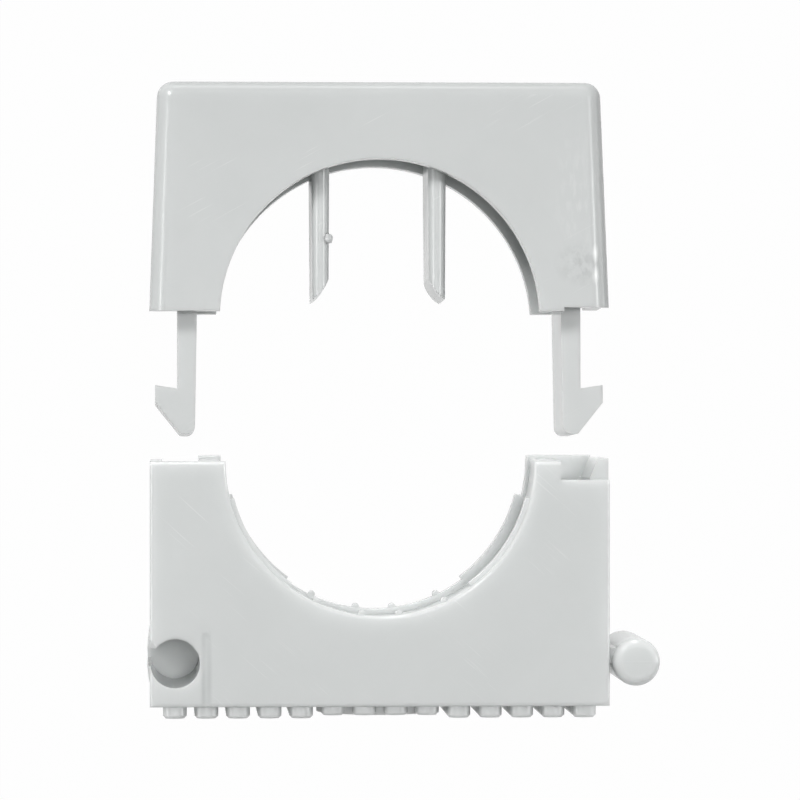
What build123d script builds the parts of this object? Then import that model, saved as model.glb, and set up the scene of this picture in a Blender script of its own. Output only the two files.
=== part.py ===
from build123d import *
from math import cos, radians, sin
import os

# Cable clip in two mouldings: a base with a half-round saddle, and a cap that snaps down over it.
# X runs across the row of clips, Y away from the wall, Z along the cable. The origin is on the
# wall plane, under the screw hole, halfway along the clip. Sizes are in millimetres.

# Base block
clip_depth = 20.0
floor_thickness = 10.24
block_edge_round = 0.5

# Half-round saddle, its two rims and the shallow trough between them
saddle_radius = 18.8
rim_width = 2.2
trough_depth = 0.8

# Grip pads and nubs on the rims, with angles measured down from the saddle's middle line
pad_thickness = 0.5
pad_start_angle = 14.0
pad_end_angle = 54.0
nub_height = 0.55
nub_radius = 0.45
nub_length = 1.2
nub_angles = (7.0, 24.7)

# Rear wall of the base: higher than the front one, and set back from the saddle above the pads
rear_rise = 0.45
rear_rise_inset = 0.8
rear_rim_setback = 0.4

# Screw hole with a countersink for the head, and the boss round it on the wall side
screw_hole_radius = 2.6
screw_head_radius = 5.0
countersink_angle = 90.0
boss_radius = 7.5
boss_height = 1.15

# Rows of short feet that bite on the wall
foot_radius = 1.45
foot_height = 1.4
inner_foot_height = 1.05
foot_bevel = 0.3
foot_columns = 14
foot_rows = 5
inner_columns = 4
foot_side_margin = 1.59
foot_end_margin = 0.35

# Snap arms of the cap
arm_thickness = 2.38
arm_half_width = 6.8
arm_drop = 14.9
arm_taper = 0.25
barb_reach = 2.72
barb_tip_drop = 8.92
barb_undercut = 0.42
barb_face = 2.17
arm_tip_width = 1.81
arm_inner_round = 1.0
arm_outer_round = 0.3

# Channels in the base that take the arms, and the catches that hold the barbs
land_width = 3.2
end_wall = 2.2
side_wall = 2.3
arm_side_clearance = 0.26
arm_tip_clearance = 0.8
catch_gap = 1.06
catch_rise = 0.3
catch_clearance = 0.1
catch_length = 11.4
lead_in_width = 1.0
lead_in_height = 2.4
window_clearance = 0.4
notch_depth = 2.3

# Cap shell, drafted on all four sides
cap_overhang = 0.05
cap_draft_angle = 2.0
cap_crown = 9.5
cap_side_wall = 1.8
cap_end_wall = 2.0
cap_ceiling = 2.2
cap_edge_round = 2.0
arch_setback = 0.7
rear_arch_setback = 1.0
arch_drop = 0.9
cap_lift = 17.61

# Reliefs in the cap's bottom edge
relief_inset = 0.4
front_relief = 0.45
side_relief = 0.9
rear_relief = 1.9
relief_overcut = 0.1

# Tongues inside the cap that press on the cable
tongue_inner_x = 5.98
tongue_thickness = 2.32
tongue_half_width = 6.6
tongue_edge_round = 1.0
tongue_draft_angle = 0.4
tongue_tip_inset = 0.25
tongue_tip_rise = 1.62
tongue_scarf_height = 3.5
tongue_scarf_bulge = 0.5

# Row joint: a slotted socket on the left, a peg on a neck on the right
row_gap = 0.2
joint_y = 6.72
socket_radius = 3.0
socket_inset = 3.08
socket_end_wall = 1.5
slot_width = 2.13
slot_rise = 0.78
lip_bulge = 0.35
lip_half_height = 3.2
lip_setback = 1.2
lip_clearance = 0.15
lip_bevel_side = 2.1
lip_bevel_angle = 21.5
lip_bevel_reach = 2.5
peg_clearance = 0.08
peg_end_clearance = 0.2
peg_round = 1.1
neck_side_clearance = 0.11
neck_setback = 1.5

# Shallow upright groove in the front face beside the socket
groove_gap = 0.32
groove_width = 0.9
groove_height = 9.0
groove_depth = 0.1

# Places worked out from the sizes above
cut_margin = 1.0
half_depth = clip_depth / 2
block_height = floor_thickness + trough_depth + saddle_radius
block_top = foot_height + block_height
trough_half = half_depth - rim_width
channel_half = half_depth - end_wall
channel_inner_x = saddle_radius + land_width
arm_inner_x = channel_inner_x + arm_side_clearance
arm_outer_x = arm_inner_x + arm_thickness
barb_outer_x = arm_outer_x + barb_reach
catch_inner_x = arm_outer_x + catch_gap
half_width = catch_inner_x + side_wall
base_width = 2 * half_width
catch_top = block_top + catch_rise
channel_floor = block_top - arm_drop - arm_tip_clearance
undercut_slope = barb_undercut / barb_reach
arm_tip_x = arm_inner_x + arm_taper + arm_tip_width
root_depth = cap_ceiling / 2
column_pitch = (base_width - 2 * (foot_side_margin + foot_radius)) / (foot_columns - 1)
foot_row_pitch = (clip_depth - 2 * (foot_end_margin + foot_radius)) / (foot_rows - 1)
row_pitch = base_width + row_gap
socket_x = socket_inset - half_width
slot_y = joint_y + slot_rise
socket_floor_z = socket_end_wall - half_depth
peg_x = socket_x + row_pitch
peg_radius = socket_radius - peg_clearance
peg_rear_z = socket_floor_z + peg_end_clearance
arch_radius = saddle_radius + arch_setback
cap_width = base_width + 2 * cap_overhang
cap_height = arch_radius - arch_drop + cap_crown
cap_edge_y = block_top + cap_lift
cap_ceiling_y = cap_edge_y + cap_height - cap_ceiling
cavity_half = half_depth - cap_end_wall


def rim_pads():
    """Two strips of the saddle's wall, one on each side, between the pads' angles."""
    inner = saddle_radius - pad_thickness
    outer = saddle_radius + pad_thickness
    sweep = pad_end_angle - pad_start_angle
    with BuildSketch() as outline:
        with BuildLine():
            inner_arc = CenterArc((0, block_top), inner, -pad_end_angle, sweep)
            outer_arc = CenterArc((0, block_top), outer, -pad_end_angle, sweep)
            Line(inner_arc @ 0, outer_arc @ 0)
            Line(inner_arc @ 1, outer_arc @ 1)
        make_face()
        mirror(about=Plane.YZ)
    return outline.sketch


def lip_outline(side_x, clearance):
    """Lens that swells out to the left of a side wall round the joint's slot."""
    low = slot_y - lip_half_height - clearance
    high = slot_y + lip_half_height + clearance
    root_x = side_x + lip_bulge
    with BuildSketch() as outline:
        with BuildLine():
            ThreePointArc((side_x, low), (side_x - lip_bulge - clearance, slot_y), (side_x, high))
            Polyline((side_x, high), (root_x, high), (root_x, low), (side_x, low))
        make_face()
    return outline.sketch


def foot(height):
    """Round foot with a bevelled end, standing out of the block's underside."""
    with BuildPart() as shape:
        with BuildSketch(Plane.XZ.offset(-foot_height)):
            Circle(foot_radius)
        extrude(amount=height)
        chamfer(shape.faces().sort_by(Axis.Y)[0].edges(), length=foot_bevel)
    return shape.part


def hook_drop(x):
    """Drop of the barb's upper face at x, measured down from the cap's edge."""
    return barb_tip_drop + (barb_outer_x - x) * undercut_slope


# What is cut out of the base for the right-hand snap arm
with BuildPart() as arm_pocket:
    # Channel with a sloping lead-in past the catch
    with BuildSketch(Plane.XY.offset(-channel_half)):
        with BuildLine():
            Polyline(
                (channel_inner_x, channel_floor),
                (catch_inner_x, channel_floor),
                (catch_inner_x, catch_top - lead_in_height),
                (catch_inner_x + lead_in_width, catch_top),
                (catch_inner_x + lead_in_width, catch_top + cut_margin),
                (channel_inner_x, catch_top + cut_margin),
                close=True,
            )
        make_face()
    extrude(amount=2 * channel_half)
    # Window through the side wall, whose sloping top is the catch's underside
    catch_under_drop = hook_drop(catch_inner_x) - catch_clearance
    outside_x = half_width + cut_margin
    with BuildSketch(Plane.XY.offset(-arm_half_width - window_clearance)):
        with BuildLine():
            Polyline(
                (catch_inner_x, channel_floor),
                (outside_x, channel_floor),
                (outside_x, block_top - catch_under_drop + (outside_x - catch_inner_x) * undercut_slope),
                (catch_inner_x, block_top - catch_under_drop),
                close=True,
            )
        make_face()
    extrude(amount=2 * (arm_half_width + window_clearance))
    # Notch in the front wall at the catch's end
    with BuildSketch(Plane.XY.offset(channel_half)):
        with Locations((channel_inner_x, block_top - notch_depth)):
            Rectangle(half_width, notch_depth + cut_margin, align=(Align.MIN, Align.MIN))
    extrude(amount=end_wall + cut_margin)
    # Lowered stretch of the side wall behind the catch
    with BuildSketch(Plane.XY.offset(-channel_half)):
        with Locations((catch_inner_x, block_top - notch_depth)):
            Rectangle(half_width, notch_depth + cut_margin, align=(Align.MIN, Align.MIN))
    extrude(amount=2 * channel_half - catch_length)

# Strip that raises the right-hand catch above the block
with BuildPart() as catch_strip:
    with BuildSketch(Plane.XY.offset(channel_half - catch_length)):
        with Locations((half_width, catch_top)):
            Rectangle(half_width - catch_inner_x, catch_rise + notch_depth, align=(Align.MAX, Align.MAX))
    extrude(amount=catch_length)

# Places of the feet: none stands inside the screw boss, and the middle columns are shorter
tall_places = []
short_places = []
for column in range(foot_columns):
    foot_x = (column - (foot_columns - 1) / 2) * column_pitch
    for row in range(foot_rows):
        foot_z = (row - (foot_rows - 1) / 2) * foot_row_pitch
        if foot_x**2 + foot_z**2 < boss_radius**2:
            continue
        if abs(foot_x) < inner_columns / 2 * column_pitch:
            short_places.append((foot_x, 0, foot_z))
        else:
            tall_places.append((foot_x, 0, foot_z))

tall_foot = foot(foot_height)
short_foot = foot(inner_foot_height)

# Base moulding
pad_top_y = block_top - saddle_radius * sin(radians(pad_start_angle))
with BuildPart() as base:
    # Block with the saddle hollowed into its top
    with BuildSketch(Plane.XY.offset(-half_depth)):
        with Locations((0, foot_height)):
            Rectangle(base_width, block_height, align=(Align.CENTER, Align.MIN))
        with Locations((0, block_top)):
            Circle(saddle_radius, mode=Mode.SUBTRACT)
    extrude(amount=clip_depth)
    fillet(base.faces().filter_by(Axis.Z).edges(), radius=block_edge_round)
    # Trough between the two rims
    with BuildSketch(Plane.XY.offset(-trough_half)):
        with Locations((0, block_top)):
            Circle(saddle_radius + trough_depth)
    extrude(amount=2 * trough_half, mode=Mode.SUBTRACT)
    # Rear wall: set back from the saddle above the pads, with a step along its top
    with BuildSketch(Plane.XY.offset(-half_depth)):
        with Locations((0, block_top)):
            Circle(saddle_radius + rear_rim_setback)
        with Locations((0, pad_top_y)):
            Rectangle(base_width, block_height, align=(Align.CENTER, Align.MIN), mode=Mode.INTERSECT)
    extrude(amount=rim_width, mode=Mode.SUBTRACT)
    with BuildSketch(Plane.XY.offset(block_edge_round - half_depth)):
        with Locations((0, block_top)):
            Rectangle(2 * (half_width - rear_rise_inset), 2 * rear_rise)
            Circle(saddle_radius + rear_rim_setback, mode=Mode.SUBTRACT)
    extrude(amount=end_wall - block_edge_round)
    # Raised catch on the right, then the pockets for both arms, the left one turned half a turn
    add(catch_strip.part)
    add(arm_pocket.part, mode=Mode.SUBTRACT)
    add(arm_pocket.part.rotate(Axis.Y, 180), mode=Mode.SUBTRACT)
    # Grip pads on both rims, clear of the rounded faces
    with BuildSketch(Plane.XY.offset(trough_half)):
        add(rim_pads())
    extrude(amount=rim_width - block_edge_round)
    with BuildSketch(Plane.XY.offset(block_edge_round - half_depth)):
        add(rim_pads())
    extrude(amount=rim_width - block_edge_round)
    # Nubs on both rims
    nub_centre_radius = saddle_radius - nub_height + nub_radius
    nub_places = [
        (side * nub_centre_radius * sin(radians(angle)), block_top - nub_centre_radius * cos(radians(angle)))
        for angle in nub_angles
        for side in (-1, 1)
    ]
    for nub_z in (half_depth - block_edge_round - nub_length, block_edge_round - half_depth):
        with BuildSketch(Plane.XY.offset(nub_z)):
            with Locations(*nub_places):
                Circle(nub_radius)
        extrude(amount=nub_length)
    # Feet and the screw boss on the wall side
    with Locations(*tall_places):
        add(tall_foot)
    with Locations(*short_places):
        add(short_foot)
    with BuildSketch(Plane.XZ.offset(-foot_height)):
        Circle(boss_radius)
    extrude(amount=boss_height)
    # Screw hole, countersunk in the trough
    trough_floor = block_top - saddle_radius - trough_depth
    with Locations(Plane(origin=(0, trough_floor, 0), x_dir=(1, 0, 0), z_dir=(0, 1, 0))):
        CounterSinkHole(
            radius=screw_hole_radius,
            counter_sink_radius=screw_head_radius,
            depth=trough_floor,
            counter_sink_angle=countersink_angle,
        )
    # Slotted socket with swelling lips on the left side
    with BuildSketch(Plane.XY.offset(-half_depth)):
        add(lip_outline(-half_width, 0))
    extrude(amount=clip_depth - lip_setback)
    with BuildSketch(Plane.XY.offset(socket_floor_z)):
        with Locations((socket_x, joint_y)):
            Circle(socket_radius)
        with Locations((socket_x, slot_y)):
            Rectangle(half_width, slot_width, align=(Align.MAX, Align.CENTER))
    extrude(amount=clip_depth, mode=Mode.SUBTRACT)
    # Bevels at the mouth of the slot, which run out along the corner of the block
    with BuildSketch(Plane(origin=(-half_width, slot_y, half_depth), x_dir=(1, 0, 0), z_dir=(0, 1, 0))):
        Rectangle(lip_bevel_side, lip_bevel_side, rotation=45)
    extrude(amount=lip_bevel_reach, both=True, taper=lip_bevel_angle, mode=Mode.SUBTRACT)
    # Shallow recess on the right side that lets the next clip's lips pass
    with BuildSketch(Plane.XY.offset(-half_depth - cut_margin)):
        add(lip_outline(row_pitch - half_width, lip_clearance))
    extrude(amount=clip_depth + cut_margin - lip_setback + lip_clearance, mode=Mode.SUBTRACT)
    # Neck of the peg
    neck_width = slot_width - 2 * neck_side_clearance
    neck_root_x = half_width - lip_bulge
    with BuildSketch(Plane.XY.offset(peg_rear_z)):
        with Locations((neck_root_x, slot_y)):
            Rectangle(peg_x - neck_root_x, neck_width, align=(Align.MIN, Align.CENTER))
    extrude(amount=half_depth - neck_setback - peg_rear_z)
    # Groove in the front face
    with BuildSketch(Plane.XY.offset(half_depth - groove_depth)):
        with Locations((socket_x + socket_radius + groove_gap, foot_height)):
            Rectangle(groove_width, groove_height, align=(Align.MIN, Align.MIN))
    extrude(amount=groove_depth, mode=Mode.SUBTRACT)

# Peg with rounded ends, made apart so that its ends can be rounded, then joined to the neck
with BuildPart() as peg:
    with BuildSketch(Plane.XY.offset(peg_rear_z)):
        with Locations((peg_x, joint_y)):
            Circle(peg_radius)
    extrude(amount=half_depth - peg_rear_z)
    fillet(peg.faces().filter_by(Axis.Z).edges(), radius=peg_round)

with base:
    add(peg.part)
base.part.label = "base"

# Snap arm on the right of the cap, with its barb
with BuildPart() as arm:
    with BuildSketch(Plane.XY.offset(-arm_half_width)) as arm_face:
        with BuildLine():
            Polyline(
                (arm_inner_x, cap_ceiling_y + root_depth),
                (arm_inner_x, cap_edge_y),
                (arm_inner_x + arm_taper, cap_edge_y - arm_drop),
                (arm_tip_x, cap_edge_y - arm_drop),
                (barb_outer_x, cap_edge_y - barb_tip_drop - barb_face),
                (barb_outer_x, cap_edge_y - barb_tip_drop),
                (arm_outer_x, cap_edge_y - barb_tip_drop - barb_undercut),
                (arm_outer_x, cap_ceiling_y + root_depth),
                close=True,
            )
        make_face()
        arm_tip = arm_face.vertices().group_by(Axis.Y)[0].sort_by(Axis.X)
        fillet(arm_tip[0], radius=arm_inner_round)
        fillet(arm_face.vertices().group_by(Axis.Y)[0].sort_by(Axis.X)[-1], radius=arm_outer_round)
    extrude(amount=2 * arm_half_width)

# Tongue on the right of the cap's middle: a round-edged bar whose tip is cut off in a bulging scarf
with BuildPart() as tongue:
    tongue_root = (tongue_inner_x + tongue_thickness / 2, cap_ceiling_y + root_depth, 0)
    tongue_tip_y = cap_edge_y + tongue_tip_rise
    with BuildSketch(Plane(origin=tongue_root, x_dir=(1, 0, 0), z_dir=(0, -1, 0))):
        RectangleRounded(tongue_thickness, 2 * tongue_half_width, tongue_edge_round)
    extrude(amount=tongue_root[1] - tongue_tip_y, taper=tongue_draft_angle)
    scarf_heel = (tongue_inner_x, tongue_tip_y + tongue_scarf_height)
    scarf_tip = (tongue_inner_x + tongue_thickness - tongue_tip_inset, tongue_tip_y)
    with BuildSketch(Plane.XY.offset(-half_depth)):
        with BuildLine():
            SagittaArc(scarf_heel, scarf_tip, -tongue_scarf_bulge)
            Polyline(scarf_tip, (tongue_inner_x, tongue_tip_y), scarf_heel)
        make_face()
    extrude(amount=clip_depth, mode=Mode.SUBTRACT)

# Cap moulding, built upright over the base
cap_bottom = Plane(origin=(0, cap_edge_y, 0), x_dir=(1, 0, 0), z_dir=(0, 1, 0))
with BuildPart() as lid:
    # Outer body and the hollow inside it, open at the bottom
    with BuildSketch(cap_bottom):
        Rectangle(cap_width, clip_depth)
    extrude(amount=cap_height, taper=cap_draft_angle)
    fillet(lid.edges() - lid.faces().sort_by(Axis.Y)[0].edges(), radius=cap_edge_round)
    with BuildSketch(cap_bottom):
        Rectangle(cap_width - 2 * cap_side_wall, 2 * cavity_half)
    extrude(amount=cap_height - cap_ceiling, taper=cap_draft_angle, mode=Mode.SUBTRACT)
    # Arches through the front wall and the rear wall, which has the wider one
    with BuildSketch():
        with Locations((0, cap_edge_y - arch_drop)):
            Circle(arch_radius)
    extrude(amount=half_depth + cut_margin, mode=Mode.SUBTRACT)
    with BuildSketch():
        with Locations((0, cap_edge_y - arch_drop)):
            Circle(saddle_radius + rear_arch_setback)
    extrude(amount=-half_depth - cut_margin, mode=Mode.SUBTRACT)
    # Front wall cut back at its right corner, both side walls and both corners of the rear wall too
    relief_x = channel_inner_x + relief_inset
    relief_width = half_width + cut_margin - relief_x
    with BuildSketch(Plane.XY.offset(cavity_half)):
        with Locations((relief_x, cap_edge_y)):
            Rectangle(relief_width, front_relief, align=(Align.MIN, Align.MIN))
    extrude(amount=cap_end_wall + cut_margin, mode=Mode.SUBTRACT)
    with BuildSketch(Plane.XY.offset(-cavity_half)):
        with Locations((relief_x, cap_edge_y)):
            Rectangle(relief_width, side_relief, align=(Align.MIN, Align.MIN))
        with Locations((-relief_x, cap_edge_y)):
            Rectangle(relief_width, side_relief, align=(Align.MAX, Align.MIN))
    extrude(amount=2 * cavity_half, mode=Mode.SUBTRACT)
    with BuildSketch(Plane.XY.offset(relief_overcut - cavity_half)):
        with Locations((relief_x, cap_edge_y)):
            Rectangle(relief_width, rear_relief, align=(Align.MIN, Align.MIN))
        with Locations((-relief_x, cap_edge_y)):
            Rectangle(relief_width, rear_relief, align=(Align.MAX, Align.MIN))
        # The rest of the rear wall clears the step on the base
        with Locations((0, cap_edge_y)):
            Rectangle(cap_width, rear_rise, align=(Align.CENTER, Align.MIN))
    extrude(amount=-cap_end_wall - relief_overcut - cut_margin, mode=Mode.SUBTRACT)
    # Arms and tongues, moulded on to the ceiling
    add(arm.part)
    add(arm.part.mirror(Plane.YZ))
    add(tongue.part)
    add(tongue.part.mirror(Plane.YZ))

# The loose cap lies on its drafted rear wall, so it leans back by the draft
lying_lid = lid.part.rotate(Axis((0, cap_edge_y, -half_depth), (1, 0, 0)), -cap_draft_angle)
lying_lid.label = "lid"

os.makedirs("parts", exist_ok=True)
export_step(base.part, "parts/base.step")
export_step(lying_lid, "parts/lid.step")
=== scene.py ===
import bmesh
import bpy
from mathutils import Matrix, Vector, noise


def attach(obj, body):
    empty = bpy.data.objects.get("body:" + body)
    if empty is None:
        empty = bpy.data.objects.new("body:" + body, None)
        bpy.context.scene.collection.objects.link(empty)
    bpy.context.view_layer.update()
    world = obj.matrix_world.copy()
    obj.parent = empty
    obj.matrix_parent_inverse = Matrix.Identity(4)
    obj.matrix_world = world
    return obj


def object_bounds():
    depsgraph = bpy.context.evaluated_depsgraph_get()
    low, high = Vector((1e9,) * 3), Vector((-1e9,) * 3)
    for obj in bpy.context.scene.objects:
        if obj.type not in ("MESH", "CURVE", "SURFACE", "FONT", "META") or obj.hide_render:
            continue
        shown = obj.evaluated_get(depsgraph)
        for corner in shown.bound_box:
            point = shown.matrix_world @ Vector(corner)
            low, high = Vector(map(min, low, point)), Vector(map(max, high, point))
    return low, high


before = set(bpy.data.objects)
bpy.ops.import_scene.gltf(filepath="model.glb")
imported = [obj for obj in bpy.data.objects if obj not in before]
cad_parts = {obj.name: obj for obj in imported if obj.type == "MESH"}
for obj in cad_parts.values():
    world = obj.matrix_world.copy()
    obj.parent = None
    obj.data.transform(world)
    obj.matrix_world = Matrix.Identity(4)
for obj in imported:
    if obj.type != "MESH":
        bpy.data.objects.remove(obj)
cad_low, cad_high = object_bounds()
MM = 0.001

# Moulded plastic
# Both pieces of the clip are injection mouldings in one light grey polyamide, which lets a little
# light in at its edges. The mould leaves a fine satin grain, the flow of the melt leaves faint
# cloudy patches, and the handling of a loose clip leaves hair scratches on its flat ends.

PLASTIC_LIGHT = (0.664, 0.680, 0.676)
PLASTIC_DULL = (0.642, 0.659, 0.655)
SCRATCH_TONE = (0.722, 0.735, 0.731)
PLASTIC_IOR = 1.48
ROUGH_DULL = 0.25
ROUGH_BRIGHT = 0.21
GRAIN_HEIGHT = 0.04 * MM
GRAIN_STRENGTH = 0.1
FLAT_FACING = 0.97


def add_node(tree, kind, x, y, **values):
    """A shader node at a place in its tree, with inputs or settings given by name."""
    node = tree.nodes.new(kind)
    node.location = (x, y)
    for name, value in values.items():
        socket = node.inputs.get(name.replace("_", " "))
        if socket is not None:
            socket.default_value = value
        else:
            setattr(node, name, value)
    return node


def add_sockets(group, wanted):
    """Named inputs and outputs of a node group, as (name, side, type, value) rows."""
    for name, side, kind, value in wanted:
        socket = group.interface.new_socket(name=name, in_out=side, socket_type=kind)
        if value is not None:
            socket.default_value = value


def make_flow_group():
    """Cloudy tone of the melt: a slow mask and a fine grain height, in object coordinates."""
    group = bpy.data.node_groups.new("melt_flow", "ShaderNodeTree")
    add_sockets(
        group,
        [
            ("Patch Scale", "INPUT", "NodeSocketFloat", 60.0),
            ("Grain Scale", "INPUT", "NodeSocketFloat", 2600.0),
            ("Dull", "INPUT", "NodeSocketColor", (*PLASTIC_DULL, 1)),
            ("Bright", "INPUT", "NodeSocketColor", (*PLASTIC_LIGHT, 1)),
            ("Color", "OUTPUT", "NodeSocketColor", None),
            ("Patch", "OUTPUT", "NodeSocketFloat", None),
            ("Grain", "OUTPUT", "NodeSocketFloat", None),
        ],
    )
    taken = add_node(group, "NodeGroupInput", -900, 0)
    given = add_node(group, "NodeGroupOutput", 500, 0)
    place = add_node(group, "ShaderNodeTexCoord", -900, 300)
    patch = add_node(group, "ShaderNodeTexNoise", -600, 200, Detail=3.0, Roughness=0.55, Distortion=0.6)
    grain = add_node(group, "ShaderNodeTexNoise", -600, -200, Detail=2.0, Roughness=0.6)
    spread = add_node(group, "ShaderNodeMapRange", -350, 200)
    spread.inputs["From Min"].default_value = 0.3
    spread.inputs["From Max"].default_value = 0.7
    tone = add_node(group, "ShaderNodeMix", 0, 200, data_type="RGBA")
    links = group.links
    links.new(place.outputs["Object"], patch.inputs["Vector"])
    links.new(place.outputs["Object"], grain.inputs["Vector"])
    links.new(taken.outputs["Patch Scale"], patch.inputs["Scale"])
    links.new(taken.outputs["Grain Scale"], grain.inputs["Scale"])
    links.new(patch.outputs["Fac"], spread.inputs["Value"])
    links.new(spread.outputs["Result"], tone.inputs["Factor"])
    links.new(taken.outputs["Dull"], tone.inputs["A"])
    links.new(taken.outputs["Bright"], tone.inputs["B"])
    links.new(tone.outputs["Result"], given.inputs["Color"])
    links.new(spread.outputs["Result"], given.inputs["Patch"])
    links.new(grain.outputs["Fac"], given.inputs["Grain"])
    return group


def make_scratch_group():
    """Hair scratches that run one way over the flat front end, as a mask from 0 to 1."""
    group = bpy.data.node_groups.new("hair_scratches", "ShaderNodeTree")
    add_sockets(
        group,
        [
            ("Turn", "INPUT", "NodeSocketVector", (0, 0, 0)),
            ("Bare", "INPUT", "NodeSocketFloat", 0.5),
            ("Scratch", "OUTPUT", "NodeSocketFloat", None),
        ],
    )
    taken = add_node(group, "NodeGroupInput", -1100, 0)
    given = add_node(group, "NodeGroupOutput", 700, 0)
    place = add_node(group, "ShaderNodeTexCoord", -1100, 300)
    turn = add_node(group, "ShaderNodeMapping", -850, 200)
    stretch = add_node(group, "ShaderNodeMapping", -650, 200, Scale=(110, 4200, 300))
    lines = add_node(group, "ShaderNodeTexNoise", -450, 200, Scale=1.0, Detail=1.0, Roughness=0.4)
    keen = add_node(group, "ShaderNodeMapRange", -250, 200)
    keen.inputs["From Min"].default_value = 0.66
    keen.inputs["From Max"].default_value = 0.76
    patch = add_node(group, "ShaderNodeTexNoise", -450, -100, Scale=110.0, Detail=1.0)
    worn = add_node(group, "ShaderNodeMapRange", -250, -100)
    upper = add_node(group, "ShaderNodeMath", -450, -350, operation="ADD")
    upper.inputs[1].default_value = 0.12
    shape = add_node(group, "ShaderNodeNewGeometry", -450, -550)
    facing = add_node(group, "ShaderNodeSeparateXYZ", -250, -550)
    flat = add_node(group, "ShaderNodeMath", -50, -550, operation="GREATER_THAN")
    flat.inputs[1].default_value = FLAT_FACING
    both = add_node(group, "ShaderNodeMath", 100, 100, operation="MULTIPLY")
    final = add_node(group, "ShaderNodeMath", 400, 0, operation="MULTIPLY")
    links = group.links
    links.new(place.outputs["Object"], turn.inputs["Vector"])
    links.new(taken.outputs["Turn"], turn.inputs["Rotation"])
    links.new(turn.outputs["Vector"], stretch.inputs["Vector"])
    links.new(stretch.outputs["Vector"], lines.inputs["Vector"])
    links.new(turn.outputs["Vector"], patch.inputs["Vector"])
    links.new(lines.outputs["Fac"], keen.inputs["Value"])
    links.new(patch.outputs["Fac"], worn.inputs["Value"])
    links.new(taken.outputs["Bare"], worn.inputs["From Min"])
    links.new(taken.outputs["Bare"], upper.inputs[0])
    links.new(upper.outputs["Value"], worn.inputs["From Max"])
    links.new(shape.outputs["Normal"], facing.inputs["Vector"])
    links.new(facing.outputs["Z"], flat.inputs[0])
    links.new(keen.outputs["Result"], both.inputs[0])
    links.new(worn.outputs["Result"], both.inputs[1])
    links.new(both.outputs["Value"], final.inputs[0])
    links.new(flat.outputs["Value"], final.inputs[1])
    links.new(final.outputs["Value"], given.inputs["Scratch"])
    return group


def make_plastic(name, flow, scratches, turn, reach):
    """Satin grey plastic with flow patches, a fine grain and hair scratches turned one way."""
    material = bpy.data.materials.new(name)
    material.use_nodes = True
    tree = material.node_tree
    tree.nodes.clear()
    output = add_node(tree, "ShaderNodeOutputMaterial", 1100, 0)
    shader = add_node(tree, "ShaderNodeBsdfPrincipled", 800, 0, IOR=PLASTIC_IOR)
    shader.inputs["Subsurface Weight"].default_value = 1.0
    shader.inputs["Subsurface Radius"].default_value = (1, 1, 1)
    shader.inputs["Subsurface Scale"].default_value = reach
    melt = add_node(tree, "ShaderNodeGroup", -700, 0)
    melt.node_tree = flow
    hairs = add_node(tree, "ShaderNodeGroup", -700, -300)
    hairs.node_tree = scratches
    hairs.inputs["Turn"].default_value = (0, 0, turn)
    tint = add_node(tree, "ShaderNodeMix", -300, 100, data_type="RGBA")
    tint.inputs["B"].default_value = (*SCRATCH_TONE, 1)
    rough = add_node(tree, "ShaderNodeMapRange", -300, -150)
    rough.inputs["To Min"].default_value = ROUGH_DULL
    rough.inputs["To Max"].default_value = ROUGH_BRIGHT
    bump = add_node(tree, "ShaderNodeBump", 500, -350, Strength=GRAIN_STRENGTH, Distance=GRAIN_HEIGHT)
    bump.name = "relief"
    links = tree.links
    links.new(melt.outputs["Color"], tint.inputs["A"])
    links.new(hairs.outputs["Scratch"], tint.inputs["Factor"])
    links.new(tint.outputs["Result"], shader.inputs["Base Color"])
    links.new(melt.outputs["Patch"], rough.inputs["Value"])
    links.new(rough.outputs["Result"], shader.inputs["Roughness"])
    links.new(melt.outputs["Grain"], bump.inputs["Height"])
    links.new(bump.outputs["Normal"], shader.inputs["Normal"])
    links.new(shader.outputs["BSDF"], output.inputs["Surface"])
    return material


flow_group = make_flow_group()
scratch_group = make_scratch_group()


def dress_node(name, material):
    """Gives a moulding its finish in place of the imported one."""
    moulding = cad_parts[name]
    moulding.data.materials.clear()
    moulding.data.materials.append(material)
    return moulding


# Base
# The lower moulding, screwed to the wall through the middle of its saddle. It lies on its rear
# end here, as a loose clip does on a bench. The mould parts along the peg and leaves a fine line,
# and two darker lines beside the socket are painted shade where shallow sink marks lie.

BASE_REACH = 3.0 * MM
BASE_SCRATCH_TURN = 0.72
PEG_AXIS_Y = 6.72 * MM
PEG_SIDE_X = 28.3 * MM
LINE_HALF_WIDTH = 0.1 * MM
LINE_HEIGHT = 0.05 * MM
LINE_STRENGTH = 0.15
FRONT_Z = 10 * MM
# Painted shade of the sink marks: a darker tone laid in two thin lines
SINK_SHADE_TONE = (0.575, 0.591, 0.588)
SINK_SHADE_X = (-21.55 * MM, -20.75 * MM)
SINK_SHADE_Y = 4.6 * MM
SINK_SHADE_SIZE = (0.42 * MM, 7.0 * MM, 4 * MM)
SOLID = {"speckle": (1, 1, 1), "bare": 0.0}

base_plastic = make_plastic("base_plastic", flow_group, scratch_group, BASE_SCRATCH_TURN, BASE_REACH)


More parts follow.
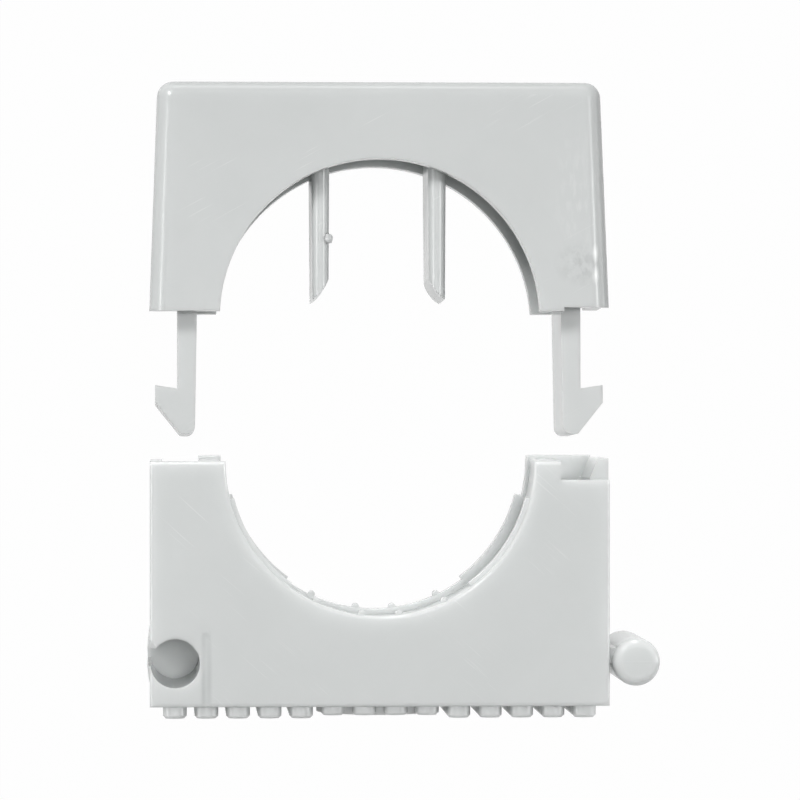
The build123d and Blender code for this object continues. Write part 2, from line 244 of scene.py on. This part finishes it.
def make_painted_light_group():
    """Mask from 0 to 1 for a patch of painted highlight and shade that fades out from the middle of its
    coordinates.
    """
    group = bpy.data.node_groups.new("painted_light_patch", "ShaderNodeTree")
    add_sockets(
        group,
        [
            ("Place", "INPUT", "NodeSocketVector", (0, 0, 0)),
            ("Speckle", "INPUT", "NodeSocketVector", (1, 1, 1)),
            ("Bare", "INPUT", "NodeSocketFloat", 0.5),
            ("Painted Light", "OUTPUT", "NodeSocketFloat", None),
        ],
    )
    taken = add_node(group, "NodeGroupInput", -900, 0)
    given = add_node(group, "NodeGroupOutput", 500, 0)
    place = add_node(group, "ShaderNodeTexCoord", -900, 300)
    fade = add_node(group, "ShaderNodeTexGradient", -500, 150, gradient_type="SPHERICAL")
    stretch = add_node(group, "ShaderNodeVectorMath", -700, -150, operation="MULTIPLY")
    speckle = add_node(group, "ShaderNodeTexNoise", -500, -150, Scale=1.0, Detail=3.0, Roughness=0.6)
    keen = add_node(group, "ShaderNodeMapRange", -250, -150)
    upper = add_node(group, "ShaderNodeMath", -500, -400, operation="ADD")
    upper.inputs[1].default_value = 0.16
    mask = add_node(group, "ShaderNodeMath", 0, 0, operation="MULTIPLY")
    links = group.links
    links.new(taken.outputs["Place"], fade.inputs["Vector"])
    links.new(place.outputs["Object"], stretch.inputs[0])
    links.new(taken.outputs["Speckle"], stretch.inputs[1])
    links.new(stretch.outputs["Vector"], speckle.inputs["Vector"])
    links.new(taken.outputs["Bare"], upper.inputs[0])
    links.new(taken.outputs["Bare"], keen.inputs["From Min"])
    links.new(upper.outputs["Value"], keen.inputs["From Max"])
    links.new(speckle.outputs["Fac"], keen.inputs["Value"])
    links.new(keen.outputs["Result"], mask.inputs[0])
    links.new(fade.outputs["Fac"], mask.inputs[1])
    links.new(mask.outputs["Value"], given.inputs["Painted Light"])
    return group


def add_painted_light(material, middle, size, tone, level, speckle, bare):
    """Lays a patch of painted highlight and shade over a plastic at one place of the object, speckled
    or solid.
    """
    tree = material.node_tree
    shader = tree.nodes["Principled BSDF"]
    before = shader.inputs["Base Color"].links[0].from_socket
    place = add_node(tree, "ShaderNodeTexCoord", -700, level)
    centre = add_node(tree, "ShaderNodeMapping", -450, level, vector_type="TEXTURE")
    centre.inputs["Location"].default_value = middle
    centre.inputs["Scale"].default_value = size
    light_patch = add_node(tree, "ShaderNodeGroup", -200, level)
    light_patch.node_tree = painted_light_group
    light_patch.inputs["Speckle"].default_value = speckle
    light_patch.inputs["Bare"].default_value = bare
    tint = add_node(tree, "ShaderNodeMix", 200, level, data_type="RGBA")
    tint.inputs["B"].default_value = (*tone, 1)
    tree.links.new(place.outputs["Object"], centre.inputs["Vector"])
    tree.links.new(centre.outputs["Vector"], light_patch.inputs["Place"])
    tree.links.new(light_patch.outputs["Painted Light"], tint.inputs["Factor"])
    tree.links.new(before, tint.inputs["A"])
    tree.links.new(tint.outputs["Result"], shader.inputs["Base Color"])


def add_parting_line(material):
    """Fine raised line round the peg where the halves of the mould meet."""
    tree = material.node_tree
    place = add_node(tree, "ShaderNodeTexCoord", -700, -600)
    axes = add_node(tree, "ShaderNodeSeparateXYZ", -500, -600)
    away = add_node(tree, "ShaderNodeMath", -300, -600, operation="SUBTRACT")
    away.inputs[1].default_value = PEG_AXIS_Y
    gap = add_node(tree, "ShaderNodeMath", -100, -600, operation="ABSOLUTE")
    line = add_node(tree, "ShaderNodeMapRange", 100, -600)
    line.inputs["From Max"].default_value = LINE_HALF_WIDTH
    line.inputs["To Min"].default_value = 1.0
    line.inputs["To Max"].default_value = 0.0
    beyond = add_node(tree, "ShaderNodeMath", -100, -800, operation="GREATER_THAN")
    beyond.inputs[1].default_value = PEG_SIDE_X
    mask = add_node(tree, "ShaderNodeMath", 300, -700, operation="MULTIPLY")
    ridge = add_node(tree, "ShaderNodeBump", 650, -600, Strength=LINE_STRENGTH, Distance=LINE_HEIGHT)
    links = tree.links
    links.new(place.outputs["Object"], axes.inputs["Vector"])
    links.new(axes.outputs["Y"], away.inputs[0])
    links.new(away.outputs["Value"], gap.inputs[0])
    links.new(gap.outputs["Value"], line.inputs["Value"])
    links.new(axes.outputs["X"], beyond.inputs[0])
    links.new(line.outputs["Result"], mask.inputs[0])
    links.new(beyond.outputs["Value"], mask.inputs[1])
    links.new(mask.outputs["Value"], ridge.inputs["Height"])
    links.new(tree.nodes["relief"].outputs["Normal"], ridge.inputs["Normal"])
    links.new(ridge.outputs["Normal"], tree.nodes["Principled BSDF"].inputs["Normal"])


add_parting_line(base_plastic)
painted_light_group = make_painted_light_group()
# Painted shade: two darker lines where shade falls in the shallow sink marks beside the socket
for sink_shade_x, level in zip(SINK_SHADE_X, (400, 700)):
    add_painted_light(base_plastic, (sink_shade_x, SINK_SHADE_Y, FRONT_Z), SINK_SHADE_SIZE, SINK_SHADE_TONE, level, **SOLID)
base = dress_node("base", base_plastic)

# Cap
# The upper moulding, a hollow shell with snap arms and tongues, lifted off the base and laid
# in line with it. Near the right-hand edge of its front, highlight and shade are painted: a mottled
# patch of light and dark speckles, a lighter streak along the edge and two near-white glints.
# A tongue has kept a burr.

CAP_REACH = 1.6 * MM
CAP_SCRATCH_TURN = -0.5
# Painted highlight and shade near the right-hand edge: dark and light speckles, a lighter streak and
# two near-white glints
SHEEN_SHADE_SPECKLE = (0.540, 0.556, 0.553)
SHEEN_HIGHLIGHT_SPECKLE = (0.735, 0.748, 0.744)
EDGE_HIGHLIGHT_TONE = (0.708, 0.722, 0.718)
GLINT_TONE = (0.93, 0.94, 0.935)
GLINT_MIDDLES = ((26.25 * MM, 56.6 * MM, 9.6 * MM), (26.25 * MM, 53.9 * MM, 9.6 * MM))
GLINT_SIZE = (0.5 * MM, 1.3 * MM, 3 * MM)
SHEEN_MIDDLE = (24.6 * MM, 55.2 * MM, 9 * MM)
SHEEN_SIZE = (3.6 * MM, 3.0 * MM, 4 * MM)
EDGE_HIGHLIGHT_MIDDLE = (24.0 * MM, 63.0 * MM, 9 * MM)
EDGE_HIGHLIGHT_SIZE = (3.4 * MM, 11.0 * MM, 4 * MM)

lid_plastic = make_plastic("lid_plastic", flow_group, scratch_group, CAP_SCRATCH_TURN, CAP_REACH)
# Painted highlight and shade: light and dark speckles stand for the mottled gloss near the right-hand
# edge
add_painted_light(lid_plastic, SHEEN_MIDDLE, SHEEN_SIZE, SHEEN_SHADE_SPECKLE, 400, speckle=(900, 700, 900), bare=0.40)
add_painted_light(lid_plastic, SHEEN_MIDDLE, SHEEN_SIZE, SHEEN_HIGHLIGHT_SPECKLE, 700, speckle=(1400, 1100, 1400), bare=0.60)
# Painted highlight: a lighter streak along the right-hand edge
add_painted_light(lid_plastic, EDGE_HIGHLIGHT_MIDDLE, EDGE_HIGHLIGHT_SIZE, EDGE_HIGHLIGHT_TONE, 1000, speckle=(1500, 420, 900), bare=0.5)
# Painted highlight: two near-white glints on the right-hand edge
for glint_middle, level in zip(GLINT_MIDDLES, (1300, 1600)):
    add_painted_light(lid_plastic, glint_middle, GLINT_SIZE, GLINT_TONE, level, **SOLID)
lid = dress_node("lid", lid_plastic)

# Burr on the tongue
# A crumb of plastic that the trimming of the cap left on the inner edge of the left-hand tongue.

BURR_MIDDLE = (-6.2 * MM, 58.4 * MM, 5.85 * MM)
BURR_SIZE = (0.62 * MM, 0.6 * MM, 0.6 * MM)
BURR_ROUGHNESS = 0.22
BURR_LUMPS = 1.7

burr_mesh = bpy.data.meshes.new("tongue_burr")
crumb = bmesh.new()
bmesh.ops.create_icosphere(crumb, subdivisions=3, radius=1.0)
for corner in crumb.verts:
    corner.co *= 1 + BURR_ROUGHNESS * noise.noise(corner.co * BURR_LUMPS)
bmesh.ops.scale(crumb, verts=crumb.verts, vec=BURR_SIZE)
bmesh.ops.translate(crumb, verts=crumb.verts, vec=BURR_MIDDLE)
for face in crumb.faces:
    face.smooth = True
crumb.to_mesh(burr_mesh)
crumb.free()
burr_mesh.materials.append(lid_plastic)
burr = bpy.data.objects.new("tongue_burr", burr_mesh)
bpy.context.scene.collection.objects.link(burr)
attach(burr, "lid")

# Studio
# A plain white sweep under the clip, weak frontal and low lamps for both mouldings, a key light
# and lamps along the edges for each moulding alone, and a camera that looks down on the front end.

REST_Z = -10 * MM
FLOOR_HALF = 3.0
FLOOR_TONE = (0.88, 0.88, 0.88, 1)
PLAIN_SHARE = 0.985


def make_floor():
    """White floor that shows as plain white, with a soft trace of the clip's shadow."""
    mesh = bpy.data.meshes.new("floor")
    shape = bmesh.new()
    bmesh.ops.create_grid(shape, x_segments=1, y_segments=1, size=FLOOR_HALF)
    bmesh.ops.translate(shape, verts=shape.verts, vec=(0, 0, REST_Z))
    shape.to_mesh(mesh)
    shape.free()
    floor = bpy.data.objects.new("floor", mesh)
    bpy.context.scene.collection.objects.link(floor)
    material = bpy.data.materials.new("white_sweep")
    material.use_nodes = True
    tree = material.node_tree
    tree.nodes.clear()
    output = add_node(tree, "ShaderNodeOutputMaterial", 600, 0)
    matt = add_node(tree, "ShaderNodeBsdfDiffuse", 0, 0, Color=FLOOR_TONE)
    glow = add_node(tree, "ShaderNodeEmission", 0, -200, Strength=1.0)
    share = add_node(tree, "ShaderNodeMixShader", 300, 0)
    path = add_node(tree, "ShaderNodeLightPath", -600, 300)
    seen = add_node(tree, "ShaderNodeMath", -400, 300, operation="MAXIMUM")
    through = add_node(tree, "ShaderNodeMath", -200, 300, operation="MAXIMUM")
    scale = add_node(tree, "ShaderNodeMath", 0, 300, operation="MULTIPLY")
    scale.inputs[1].default_value = PLAIN_SHARE
    tree.links.new(path.outputs["Is Camera Ray"], seen.inputs[0])
    tree.links.new(path.outputs["Is Glossy Ray"], seen.inputs[1])
    tree.links.new(seen.outputs["Value"], through.inputs[0])
    tree.links.new(path.outputs["Is Transmission Ray"], through.inputs[1])
    tree.links.new(through.outputs["Value"], scale.inputs[0])
    tree.links.new(scale.outputs["Value"], share.inputs["Fac"])
    tree.links.new(matt.outputs["BSDF"], share.inputs[1])
    tree.links.new(glow.outputs["Emission"], share.inputs[2])
    tree.links.new(share.outputs["Shader"], output.inputs["Surface"])
    mesh.materials.append(material)
    return floor


def turn_towards(place, aim):
    """Turn that makes a lamp or camera look at a point, with +Y upwards in its picture."""
    back = (place - aim).normalized()
    right = Vector((0, 1, 0)).cross(back).normalized()
    up = back.cross(right)
    return Matrix((right, up, back)).transposed().to_quaternion()


def add_lamp(name, away, size, power):
    """Square area lamp at a distance from the clip's middle, towards which it looks."""
    place = clip_middle + Vector(away)
    data = bpy.data.lights.new(name, "AREA")
    data.shape = "SQUARE"
    data.size = size
    data.energy = power
    lamp = bpy.data.objects.new(name, data)
    lamp.location = place
    lamp.rotation_mode = "QUATERNION"
    lamp.rotation_quaternion = turn_towards(place, clip_middle)
    bpy.context.scene.collection.objects.link(lamp)
    return lamp


make_floor()
clip_middle = (cad_low + cad_high) / 2

# Lamps that light both mouldings; the first throws no gloss, so that the flat ends stay even
FRONTAL = (0.04, 0.13, 2.0)
front = add_lamp("front_lamp", FRONTAL, 0.4, 4.2)
front.visible_glossy = False
add_lamp("gloss_lamp", FRONTAL, 0.5, 2.0)
add_lamp("low_lamp", (0.0, -1.73, 1.0), 0.6, 4.7)


def light_apart(title, pieces, rows):
    """Lamps for one moulding alone, unshaded by the other, as (name, distance, size, power) rows."""
    lit_set = bpy.data.collections.new(title)
    for piece in pieces:
        lit_set.objects.link(piece)
    for name, away, size, power in rows:
        lamp = add_lamp(name, away, size, power)
        lamp.light_linking.receiver_collection = lit_set
        lamp.light_linking.blocker_collection = lit_set


light_apart(
    "cap_set",
    (lid, burr),
    (
        ("cap_key", (-0.9, 1.1, 1.4), 0.5, 22.3),
        ("cap_left_strip", (-1.34, 0.2, 1.48), 0.3, 5.5),
        ("cap_right_strip", (1.06, 0.2, 1.7), 0.3, 6.5),
        ("cap_left", (-1.95, 0.1, 0.35), 0.5, 0.4),
        ("cap_right", (1.95, 0.1, 0.35), 0.5, 3.4),
        ("cap_top", (0.0, 2.0, 0.2), 0.4, 2.9),
    ),
)
light_apart(
    "base_set",
    (base,),
    (
        ("base_key", (-0.9, 1.1, 1.4), 0.5, 9.2),
        ("base_front", FRONTAL, 0.4, 12.2),
        ("base_upper", (0.0, 1.73, 1.0), 0.5, 7.2),
        ("base_top", (-0.1, 2.0, 0.25), 0.4, 14.5),
        ("base_left", (-1.95, 0.1, 0.35), 0.5, 11.8),
        ("base_right", (1.95, 0.1, 0.35), 0.5, 12.6),
    ),
)
bpy.data.objects["base_front"].visible_glossy = False

world = bpy.data.worlds.new("studio")
world.use_nodes = True
sky = world.node_tree.nodes["Background"]
sky.inputs["Color"].default_value = (1, 1, 1, 1)
sky.inputs["Strength"].default_value = 0.13
bpy.context.scene.world = world

# Camera at the photograph's angle: almost straight down on the front end, from a little left
SENSOR = 36.0
VIEW_WIDTH = 97.2 * MM
CAMERA_PLACE = Vector((-26.2, 41.8, 565.0)) * MM
CAMERA_AIM = Vector((2.37, 38.7, 10.0)) * MM

camera_data = bpy.data.cameras.new("camera")
camera = bpy.data.objects.new("camera", camera_data)
camera.location = CAMERA_PLACE
camera.rotation_mode = "QUATERNION"
camera.rotation_quaternion = turn_towards(CAMERA_PLACE, CAMERA_AIM)
camera_data.sensor_width = SENSOR
camera_data.lens = SENSOR * (CAMERA_AIM - CAMERA_PLACE).length / VIEW_WIDTH
camera_data.clip_start = 0.01
bpy.context.scene.collection.objects.link(camera)
bpy.context.scene.camera = camera
bpy.context.scene.view_settings.view_transform = "Standard"
